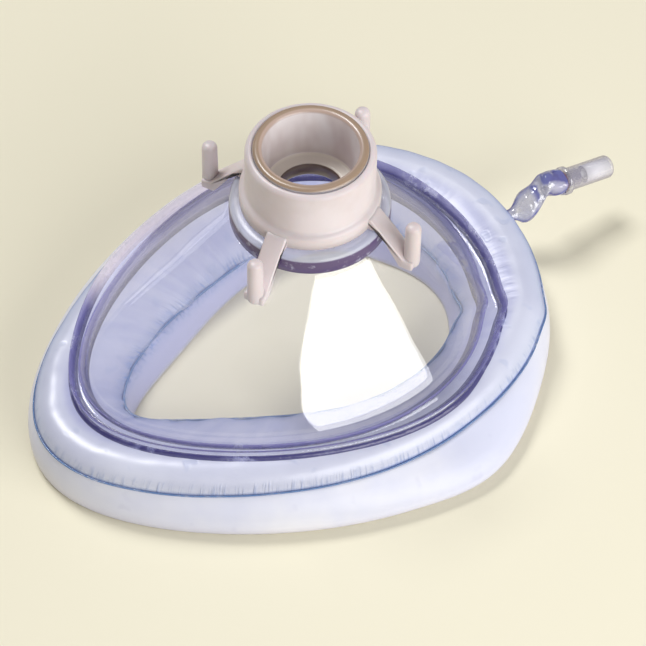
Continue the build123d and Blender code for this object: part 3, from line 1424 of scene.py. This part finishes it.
@dataclass
class Dome:
    """The rigid clear dome with its stepped flange, and the port that stands on it.

    Attributes:
        rim: Outline of the flange.
        base: Outline of the wall's foot on the flange.
        shoulder: Radius of the shoulder.
        wall: Thickness of the dome.
        flange_low: Underside of the flange.
        flange_high: Its top.
        shoulder_low: Height of the shoulder's foot.
        rise: Height above the flange and share of the way from shoulder to rim.
        segments: Points round each loop.
    """

    rim: Egg = Egg(62.8, -46.0, 45.0, 0.2857, (Dent(-132, 16, -1.2), Dent(-151, 4, 1.0), Dent(60, 26, 2.4)))
    base: Egg = Egg(60.2, -41.4, 40.7, 0.24, (Dent(-86, 30, 1.3), Dent(-151, 4, 0.9)))
    shoulder: float = 18.4
    wall: float = 1.6
    flange_low: float = 16.8
    flange_high: float = 18.2
    shoulder_low: float = 50.5
    rise: tuple[tuple[float, float], ...] = (
        (0.0, 1.0),
        (1.4, 1.0),
        (2.8, 0.998),
        (3.7, 0.990),
        (4.5, 0.973),
        (5.4, 0.950),
        (6.6, 0.914),
        (8.2, 0.862),
        (10.5, 0.785),
        (13.0, 0.695),
        (16.0, 0.585),
        (20.0, 0.44),
        (24.0, 0.298),
        (28.0, 0.15),
        (31.0, 0.045),
    )
    segments: int = 288

    def shell_stations(self, wall: float) -> list[Station]:
        """Loops of the dome from its foot to the shoulder, moved in by a wall.

        Args:
            wall: How far they are moved in.

        Returns:
            The loops.
        """
        disc = Disc(self.shoulder - wall)
        egg = self.base.inset(wall)
        made = [Station(disc, egg, share, self.flange_high + height) for height, share in self.rise]
        return made + [Station(disc, egg, 0.0, self.shoulder_low)]

    def cone(self) -> None:
        """The dome's shell with its flange."""
        def at(inset: float, height: float) -> Station:
            """A loop of the flange."""
            return Station(self.rim.inset(inset), self.rim, 0.0, height)

        outside = self.shell_stations(0.0)
        inside = list(reversed(self.shell_stations(self.wall)))
        stations = [
            at(0.55, self.flange_low),
            at(0.45, self.flange_low + 0.3),
            at(0.45, self.flange_high - 0.3),
            at(0.70, self.flange_high),
            at(1.45, self.flange_high + 0.02),
            at(1.60, self.flange_high + 0.15),
            *outside,
            *inside,
            Station(self.base.inset(self.wall + 0.1), self.rim, 0.0, self.flange_low),
        ]
        bm = Mesh.loft([station.at for station in stations], self.segments, ring=True)
        obj = Piece("dome_cone", "mask", "rigid_clear", ("dome_shell",)).make(bm, ClearShell().build())
        obj.visible_shadow = False

    def port(self) -> None:
        """The shoulder, the port's wall and its pierced floor."""
        profile = (
            (16.9, 50.4),
            (18.3, 50.4),
            (18.75, 50.9),
            (18.8, 52.4),
            (18.75, 54.6),
            (18.3, 55.3),
            (17.6, 55.7),
            (16.6, 55.8),
            (13.9, 55.8),
            (13.35, 56.2),
            (13.3, 57.0),
            (13.3, 72.2),
            (13.0, 72.85),
            (12.5, 73.0),
            (11.8, 73.0),
            (11.25, 72.8),
            (11.0, 72.3),
            (11.0, 60.0),
            (10.7, 59.3),
            (10.0, 59.0),
            (8.3, 59.0),
            (7.7, 58.8),
            (7.5, 58.3),
            (7.5, 55.6),
            (7.8, 55.1),
            (8.4, 55.0),
            (14.9, 55.0),
            (16.3, 54.5),
            (16.8, 53.0),
        )
        bm = Mesh.spin(profile, 128)
        Piece("port_wall", "mask", "rigid_clear").make(bm, PortWall().build())

    def band(
        self, name: str, outline: Egg, rows: Sequence[tuple[float, float]], finish: Finish, node: str = ""
    ) -> None:
        """Loft a closed ring along an outline.

        Args:
            name: The piece's name.
            outline: The outline it follows.
            rows: Inset and height of each of its edges.
            finish: Its finish.
            node: The CAD node that it stands for.
        """
        loops = [Station(outline.inset(inset), outline, 0.0, height).at for inset, height in rows]
        bm = Mesh.loft(loops, self.segments, ring=True)
        obj = Piece(name, "mask", "bond", (node,) if node else ()).make(bm, finish.build())
        obj.visible_shadow = False

    def flange_bonds(self) -> None:
        """The dark bonded edge of the flange, its raised lip and the wall's dark foot, with painted shade low
        on the lip and the foot and a painted reflection along the +X side of the edge and the lip.
        """
        self.band(
            "bond_edge",
            self.rim,
            (
                (-0.1, 15.9), (-0.35, 16.3), (-0.2, 16.8), (0.25, 17.2),
                (0.7, 17.3), (0.95, 16.9), (0.8, 16.2), (0.3, 15.8),
            ),
            # Painted reflection: pinkish white along its +X side.
            Bond("bond_edge", pale=1.0),
            "bond_ring",
        )
        self.band(
            "flange_lip",
            self.rim,
            (
                (2.1, 17.5), (1.1, 18.7), (0.15, 19.9), (-0.1, 19.95),
                (-0.12, 19.7), (0.75, 18.5), (1.75, 17.3),
            ),
            # Painted shade towards its foot and painted reflection along its +X side.
            Bond("flange_lip", (0.20, 0.19, 0.44), (0.46, 0.46, 0.72), 0.62, 0.6, 17.4, 19.8, 1.0),
        )
        self.band(
            "wall_foot",
            self.base,
            (
                (0.3, 18.3), (-0.25, 19.9), (-0.12, 20.5), (0.15, 20.3),
                (0.7, 18.9), (2.3, 17.1), (2.2, 16.8), (0.8, 17.4),
            ),
            # Painted shade towards its base.
            Bond("wall_foot", (0.22, 0.21, 0.46), (0.50, 0.50, 0.76), 0.66, 0.6, 17.0, 20.2),
        )

    def build(self) -> None:
        """Make every piece of the dome."""
        self.cone()
        self.port()
        self.flange_bonds()


@dataclass
class HookRing:
    """The harness ring: a collar with a flange and four arms that end in upright pins.

    Attributes:
        bore: Radius of its bore.
        low: Its underside.
        high: Its top.
        collar: The collar's radius.
        flange: The flange's radius.
        start: Angle of the first hook in degrees.
        count: How many hooks.
        reach: Radius of the pins' circle.
        pin: A pin's radius.
        foot: Height of a pin's foot.
        tip: Height of its tip.
        arm_width: Width of an arm.
    """

    bore: float = 13.36
    low: float = 55.9
    high: float = 72.2
    collar: float = 15.0
    flange: float = 16.4
    start: float = 30.2
    count: int = 4
    reach: float = 26.4
    pin: float = 1.95
    foot: float = 47.2
    tip: float = 60.4
    arm_width: float = 5.0

    def collar_mesh(self) -> bmesh.types.BMesh:
        """The collar with its flange and bevelled lip.

        Returns:
            The mesh.
        """
        step = self.low + 4.2
        profile = (
            (self.bore, self.low + 0.2),
            (self.bore + 0.3, self.low),
            (self.flange - 0.5, self.low),
            (self.flange, self.low + 0.5),
            (self.flange, step - 0.9),
            (self.flange - 0.35, step - 0.3),
            (self.collar + 0.55, step),
            (self.collar + 0.12, step + 0.4),
            (self.collar, step + 1.0),
            (self.collar, self.high - 1.1),
            (self.collar - 0.25, self.high - 0.5),
            (self.collar - 0.7, self.high - 0.12),
            (self.collar - 1.1, self.high),
            (self.bore + 0.25, self.high),
            (self.bore, self.high - 0.2),
        )
        return Mesh.spin(profile, 128)

    def hook_mesh(self, angle: float) -> bmesh.types.BMesh:
        """One arm with its pin.

        Args:
            angle: Direction in radians.

        Returns:
            The mesh, turned to its place.
        """
        inner = self.reach - self.pin
        outline = (
            (14.6, self.low + 0.05),
            (18.8, self.low + 0.05),
            (inner - 0.2, self.foot),
            (self.reach + 1.2, self.foot),
            (self.reach + 1.2, self.foot + 2.4),
            (inner + 0.9, self.foot + 2.6),
            (16.7, self.low + 3.3),
            (14.6, self.low + 3.5),
        )
        arm = Mesh.plate(outline, self.arm_width, 0.45)
        pin_profile = (
            (0.0, self.foot),
            (1.4, self.foot),
            (1.8, self.foot + 0.4),
            (self.pin, self.foot + 1.2),
            (self.pin - 0.12, self.tip - 1.3),
            (1.68, self.tip - 0.75),
            (1.40, self.tip - 0.33),
            (0.95, self.tip - 0.08),
            (0.0, self.tip),
        )
        pin = Mesh.spin(pin_profile, 28, closed=False)
        bmesh.ops.translate(pin, vec=(self.reach, 0, 0), verts=pin.verts)
        hook = Mesh.join((arm, pin))
        bmesh.ops.rotate(hook, cent=(0, 0, 0), matrix=Matrix.Rotation(angle, 3, "Z"), verts=hook.verts)
        return hook

    def build(self) -> None:
        """Make the ring."""
        step = 360 / self.count
        hooks = [self.hook_mesh(math.radians(self.start + step * index)) for index in range(self.count)]
        finish = Moulded(
            "ring_plastic", (0.72, 0.65, 0.675), (0.63, 0.55, 0.555), roughness=0.36, scatter=0.1
        )
        Piece("harness_ring", "harness_ring", "ring_plastic", ("hook_ring",)).make(
            Mesh.join([self.collar_mesh(), *hooks]), finish.build()
        )


@dataclass
class InflationValve:
    """The soft tail and the check valve at its end.

    Attributes:
        hinge: Where the tail bends: y and z; not used.
        flange: Centre of the valve flange's outer face: y and z.
        droop: How far the valve's axis points down, in degrees.
        length: Of the housing; not used.
        radius: Of the housing; not used.
    """

    hinge: tuple[float, float] = (-61.05, 13.4)
    flange: tuple[float, float] = (-76.5, 16.8)
    droop: float = 10.0
    length: float = 13.3
    radius: float = 2.95

    def axis(self) -> Matrix:
        """Matrix that lays +Z along the valve's axis, out from the flange.

        Returns:
            The matrix.
        """
        out = Vector((0, -math.cos(math.radians(self.droop)), -math.sin(math.radians(self.droop))))
        turned = out.to_track_quat("Z", "X").to_matrix().to_4x4()
        return Matrix.Translation((0, *self.flange)) @ turned

    def lay(self, bm: bmesh.types.BMesh) -> bmesh.types.BMesh:
        """Move a mesh made about +Z on to the valve's axis.

        Args:
            bm: The mesh.

        Returns:
            The same mesh.
        """
        bmesh.ops.transform(bm, matrix=self.axis(), verts=bm.verts)
        return bm

    def housing(self) -> None:
        """The clear syringe housing with its flange, and a white liner that paints the socket's highlight."""
        profile = (
            (2.13, -1.4),
            (3.35, -1.4),
            (3.65, -1.1),
            (3.65, -0.3),
            (3.35, 0.0),
            (3.05, 0.1),
            (2.95, 0.4),
            (2.95, 12.7),
            (2.75, 13.15),
            (2.5, 13.3),
            (2.25, 13.25),
            (2.1, 13.0),
            (2.1, 6.6),
            (1.9, 6.6),
            (1.9, 4.6),
            (0.8, 4.6),
            (0.8, 3.4),
            (2.13, 3.4),
        )
        finish = ClearShell(
            "valve_clear",
            (0.86, 0.84, 0.93),
            (0.04, 0.02, 0.14),
            0.10,
            1.0,
            power=0.95,
            foot_z=-2.0,
            curb_z=-1.0,
            shade=0.0,
        )
        Piece("valve_body", "valve", "valve_plastic", ("valve_housing",)).make(
            self.lay(Mesh.spin(profile, 64)), finish.build()
        )
        # Painted highlight: an opaque white liner in the socket's bore.
        liner = ((2.12, 5.2), (2.26, 5.2), (2.26, 12.8), (2.12, 12.8))
        white = Moulded("socket_painted_highlight", (0.97, 0.96, 0.98), (0.92, 0.90, 0.95), roughness=0.25)
        Piece("socket_highlight_liner", "valve", "valve_plastic").make(self.lay(Mesh.spin(liner, 48)), white.build())

    @staticmethod
    def tail_loop(y: float, z: float, wide: float, high: float, pitch: float) -> Callable[[float], Vector]:
        """One loop of the tail.

        Args:
            y: Its centre's place along the mask.
            z: Its centre's height.
            wide: Half its width.
            high: Half its height.
            pitch: How far it leans, in degrees.

        Returns:
            A function from a turn to a point.
        """
        slope = math.radians(pitch)

        def at(turn: float) -> Vector:
            """Point at a turn."""
            across, up = wide * math.sin(turn), high * math.cos(turn)
            fold = 1.0 + 0.10 * math.sin(3 * turn + 1.3 * y)
            return Vector((across * fold, y - up * math.sin(slope), z + up * math.cos(slope)))

        return at

    def tail(self) -> None:
        """The flattened tail that bends between the cushion and the valve."""
        rows = (
            (-57.4, 13.5, 2.2, 1.8, 0.0),
            (-58.8, 13.4, 1.6, 1.5, 0.0),
            (-60.4, 13.4, 1.5, 1.45, 0.0),
            (-61.5, 13.4, 2.2, 2.4, 0.0),
            (-62.7, 13.5, 3.3, 3.8, 4.0),
            (-64.2, 13.9, 3.8, 4.5, 8.0),
            (-65.7, 15.1, 3.7, 4.4, 16.0),
            (-67.0, 16.9, 3.2, 3.3, 20.0),
            (-68.2, 18.6, 2.9, 2.5, 12.0),
            (-69.5, 19.2, 3.0, 2.8, 2.0),
            (-71.0, 18.7, 3.3, 3.6, -6.0),
            (-72.6, 18.0, 3.4, 3.6, -10.0),
            (-73.7, 17.4, 3.4, 3.4, 4.0),
            (-74.7, 17.2, 3.55, 3.45, 9.0),
        )
        bm = Mesh.loft([self.tail_loop(*row) for row in rows], 40)
        obj = Piece("tail_envelope", None, "soft_clear", ("inflation_tail", "inflation_stub")).make(
            bm, TailFilm().build()
        )
        wall = obj.modifiers.new("film", "SOLIDIFY")
        wall.thickness = 0.3 * MM
        wall.offset = -1.0
        level = obj.modifiers.new("round", "SUBSURF")
        level.levels = level.render_levels = 1
        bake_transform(obj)

    def build(self) -> None:
        """Make every piece of the valve."""
        self.housing()
        self.tail()


# ------------------------------------------------------------------ CAD nodes that stay
class KeptNode(Enum):
    """CAD nodes whose shape is right as it is, each with its finish."""

    VALVE_STEM = Moulded("stem_plastic", (0.86, 0.85, 0.86), (0.80, 0.79, 0.81), roughness=0.35)
    VALVE_SEAL = Moulded("seal_rubber", (0.03, 0.03, 0.032), (0.05, 0.05, 0.05), roughness=0.6)
    VALVE_RETAINER = Moulded("retainer_plastic", (0.80, 0.78, 0.82), (0.70, 0.68, 0.75), roughness=0.30)
    VALVE_SPRING = Moulded("spring_steel", (0.55, 0.55, 0.56), (0.48, 0.48, 0.50), roughness=0.3, metal=1.0)
    VALVE_GASKET = Moulded("gasket_rubber", (0.55, 0.05, 0.05), (0.42, 0.04, 0.04), roughness=0.55)

    @classmethod
    def dress(cls, nodes: dict[str, bpy.types.Object]) -> None:
        """Give each kept node its finish.

        Args:
            nodes: The frame's nodes by name.
        """
        for kept in cls:
            data = nodes[kept.name.lower()].data
            material = kept.value.build()
            data.materials.clear()
            data.materials.append(material)
            LOG.info("%s: kept from the frame", kept.name.lower())


# ------------------------------------------------------------------ studio
@dataclass
class Studio:
    """Camera, paper and lights.

    Attributes:
        elevation: The camera's height angle in degrees.
        turn: Angle of the mask's chin end from the picture's right, in degrees.
        distance: From the camera to the look point, in millimetres.
        lens: Focal length in millimetres on a 36 mm sensor.
        aside: How far the look point is to the right of the origin.
        above: How far it is above the origin, in the picture's plane.
        roll: The camera's roll in degrees.
        right: The picture's right, worked out from the turn.
        into: The direction into the picture along the ground.
    """

    elevation: float = 51.503
    turn: float = 33.208
    distance: float = 641.6
    lens: float = 144.87
    aside: float = 3.723
    above: float = 5.84
    roll: float = -1.252
    right: Vector = field(init=False)
    into: Vector = field(init=False)

    def __post_init__(self) -> None:
        """Work out the picture's right and its horizontal inward direction."""
        angle = math.radians(self.turn)
        self.right = Vector((-math.sin(angle), -math.cos(angle), 0))
        self.into = Vector((math.cos(angle), -math.sin(angle), 0))

    def camera(self) -> None:
        """Stand the camera at its place."""
        tilt, roll = math.radians(self.elevation), math.radians(self.roll)
        up = self.into * math.sin(tilt) + Vector((0, 0, math.cos(tilt)))
        forward = self.into * math.cos(tilt) - Vector((0, 0, math.sin(tilt)))
        right = self.right * math.cos(roll) - up * math.sin(roll)
        top = self.right * math.sin(roll) + up * math.cos(roll)
        place = (right * self.aside + top * self.above - forward * self.distance) * MM
        data = bpy.data.cameras.new("camera")
        data.lens, data.sensor_width = self.lens, 36.0
        data.clip_start, data.clip_end = 0.05, 20.0
        camera = bpy.data.objects.new("camera", data)
        turned = Matrix((right, top, -forward)).transposed()
        camera.matrix_world = Matrix.Translation(place) @ turned.to_4x4()
        bpy.context.scene.collection.objects.link(camera)
        bpy.context.scene.camera = camera

    def softbox(
        self, name: str, place: Vector, target: Vector, size: tuple[float, float], power: float
    ) -> None:
        """Hang one soft light.

        Args:
            name: Its name.
            place: Where it hangs, in metres.
            target: What it points at.
            size: Its width and height in metres.
            power: In watts.
        """
        data = bpy.data.lights.new(name, "AREA")
        data.shape, data.size, data.size_y = "RECTANGLE", *size
        data.energy = power
        light = bpy.data.objects.new(name, data)
        light.location = place
        light.rotation_mode = "QUATERNION"
        light.rotation_quaternion = (target - place).to_track_quat("-Z", "Y")
        light.visible_camera = False
        bpy.context.scene.collection.objects.link(light)

    def paper(self) -> None:
        """Lay the paper."""
        bm = bmesh.new()
        bmesh.ops.create_grid(bm, x_segments=1, y_segments=1, size=2500.0)
        bmesh.ops.transform(bm, matrix=Matrix.Scale(MM, 4), verts=bm.verts)
        data = bpy.data.meshes.new("paper")
        bm.to_mesh(data)
        bm.free()
        data.materials.append(Backdrop().build())
        sheet = bpy.data.objects.new("paper", data)
        bpy.context.scene.collection.objects.link(sheet)

    def light(self) -> None:
        """Hang the lights and fill the room with pale light."""
        middle = Vector((0, 0, 0.03))
        up = Vector((0, 0, 1))
        key = middle - self.right * 0.45 + self.into * 0.55 + up * 1.25
        self.softbox("key", key, middle, (0.5, 0.5), 12.0)
        wedge = middle + self.right * 0.492 - self.into * 0.492 + up * 0.281
        self.softbox("front", wedge, middle, (0.80, 0.50), 5.4)
        low = middle - self.right * 0.62 + self.into * 0.70 + up * 0.10
        self.softbox("strip", low, middle, (0.30, 0.14), 0.16)
        world = bpy.data.worlds.new("room")
        world.use_nodes = True
        back = world.node_tree.nodes["Background"]
        back.inputs["Color"].default_value = (0.93, 0.92, 0.90, 1)
        back.inputs["Strength"].default_value = 0.30
        bpy.context.scene.world = world

    def build(self) -> None:
        """Set the stage."""
        self.camera()
        self.paper()
        self.light()
        bpy.context.scene.view_settings.view_transform = "Standard"
        bpy.context.scene.cycles.transparent_max_bounces = 32


def main() -> None:
    """Build the mask round the frame."""
    logging.basicConfig(level=logging.INFO, format="%(name)s %(message)s")
    for stray in list(bpy.data.objects):
        bpy.data.objects.remove(stray)
    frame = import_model()
    Studio().build()
    Cushion().build()
    Dome().build()
    HookRing().build()
    InflationValve().build()
    KeptNode.dress(frame["nodes"])


if __name__ == "__main__":
    main()
